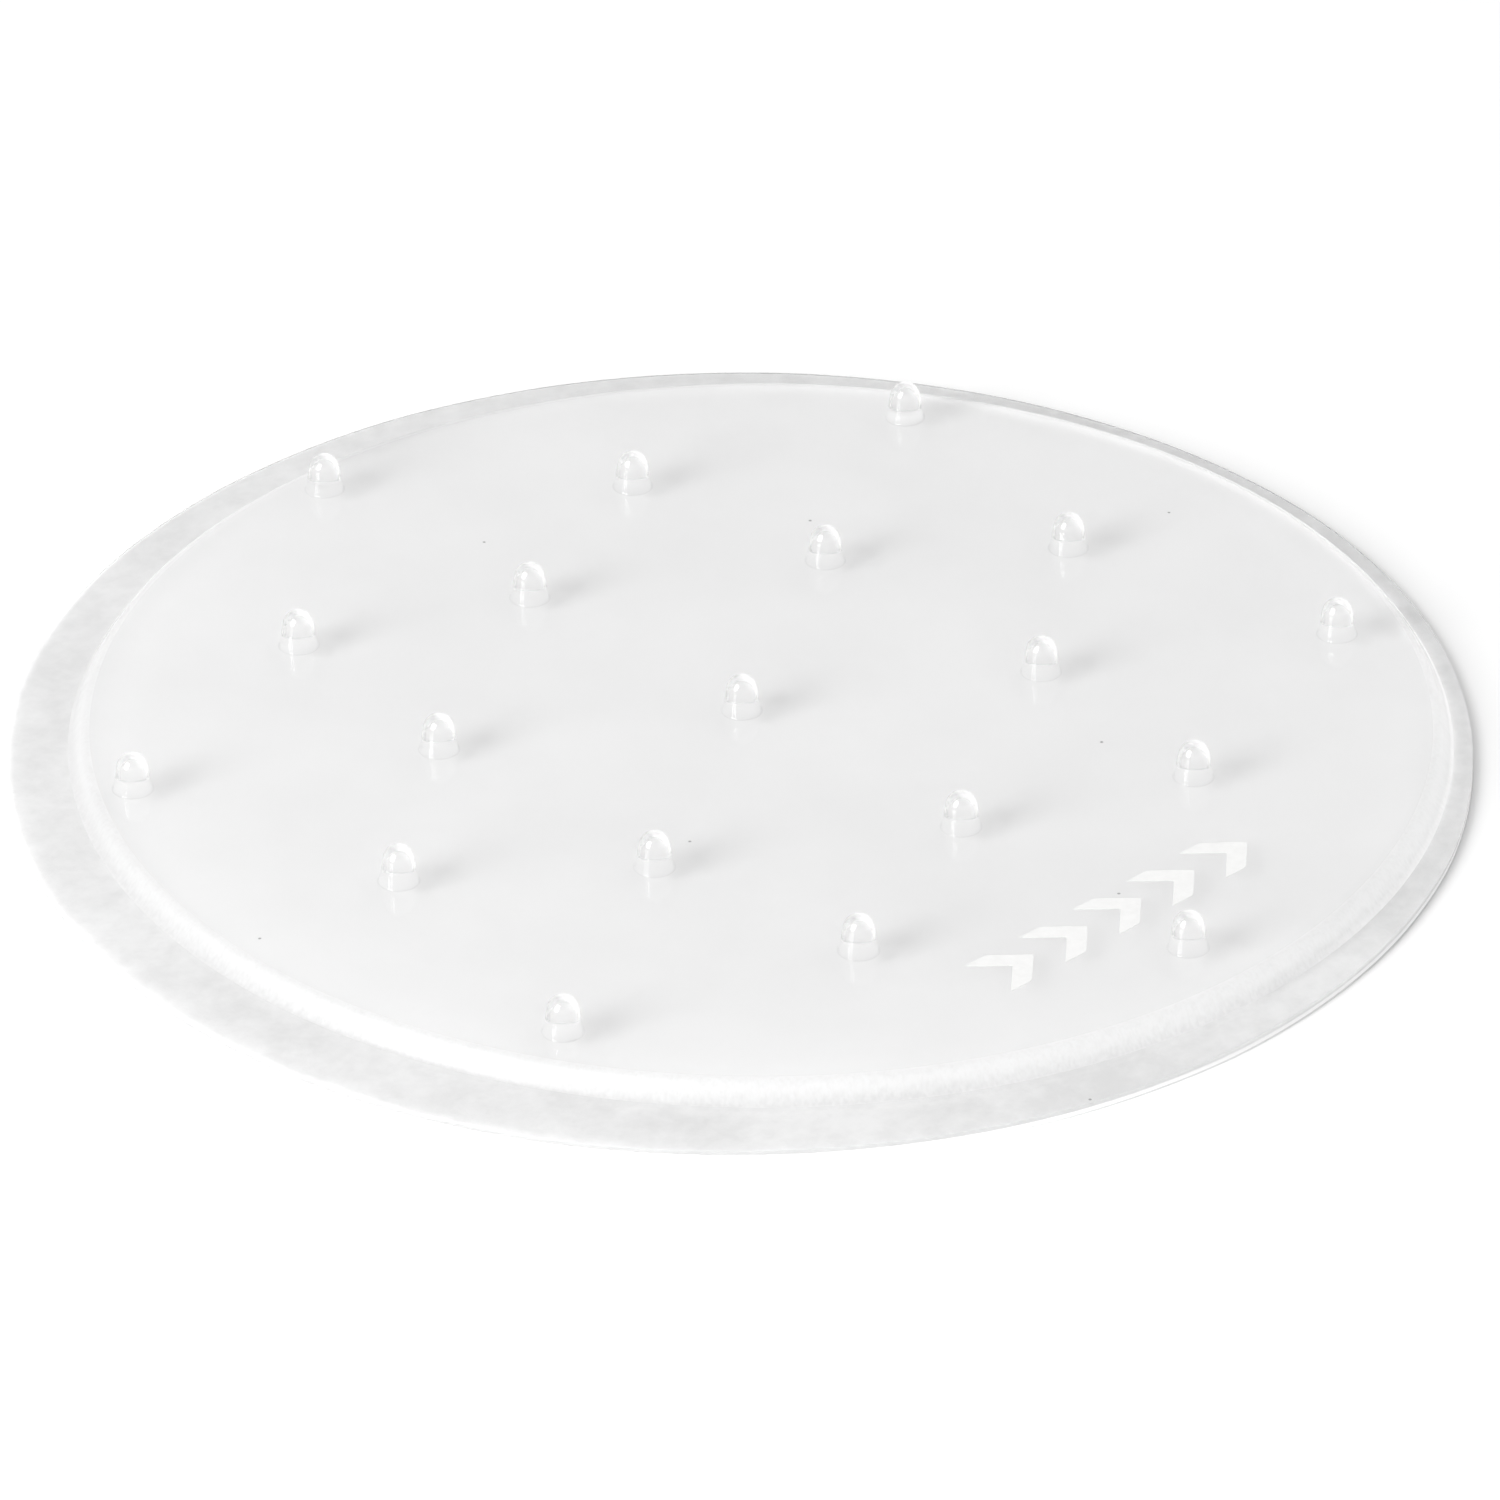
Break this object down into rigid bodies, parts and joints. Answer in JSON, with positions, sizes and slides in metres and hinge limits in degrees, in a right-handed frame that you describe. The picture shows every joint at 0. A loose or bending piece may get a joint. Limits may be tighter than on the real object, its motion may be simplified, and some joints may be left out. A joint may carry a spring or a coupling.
{
  "type": "snowboard stomp pad",
  "caption": "Round clear stick-on grip pad for a snowboard deck: a raised moulded plate in a thin skirt, with upright round-nosed studs, on adhesive film with a peel-off liner.",
  "frame": {"origin": "centre of the liner's underside, the lowest face of the part", "axes": "+Z out of the studded top, -Y towards the printed side, +X the way the printed chevrons point"},
  "size_m": [0.13, 0.13, 0.0065],
  "materials": {
    "polyurethane": "clear cast polyurethane, glossy and almost colourless",
    "adhesive": "clear acrylic adhesive, faintly mottled",
    "liner": "translucent siliconised film, satin",
    "ink": "white printed ink, satin"
  },
  "bodies": {
    "liner": {"release_liner": "liner"},
    "pad": {"adhesive_film": "adhesive", "pad_base": "polyurethane", "stud_centre": "polyurethane", "stud_inner_1": "polyurethane", "stud_inner_2": "polyurethane", "stud_inner_3": "polyurethane", "stud_inner_4": "polyurethane", "stud_inner_5": "polyurethane", "stud_inner_6": "polyurethane", "stud_middle_1": "polyurethane", "stud_middle_2": "polyurethane", "stud_middle_3": "polyurethane", "stud_middle_4": "polyurethane", "stud_middle_5": "polyurethane", "stud_middle_6": "polyurethane", "stud_outer_1": "polyurethane", "stud_outer_2": "polyurethane", "stud_outer_3": "polyurethane", "stud_outer_4": "polyurethane", "stud_outer_5": "polyurethane", "stud_outer_6": "polyurethane", "print_chevron_1": "ink", "print_chevron_2": "ink", "print_chevron_3": "ink", "print_chevron_4": "ink", "print_chevron_5": "ink"}
  },
  "joints": [
    {"name": "pad_lift_off", "type": "slide", "parent": "liner", "child": "pad", "axis": [0, 0, 1], "range_m": [0, 0.03]}
  ]
}
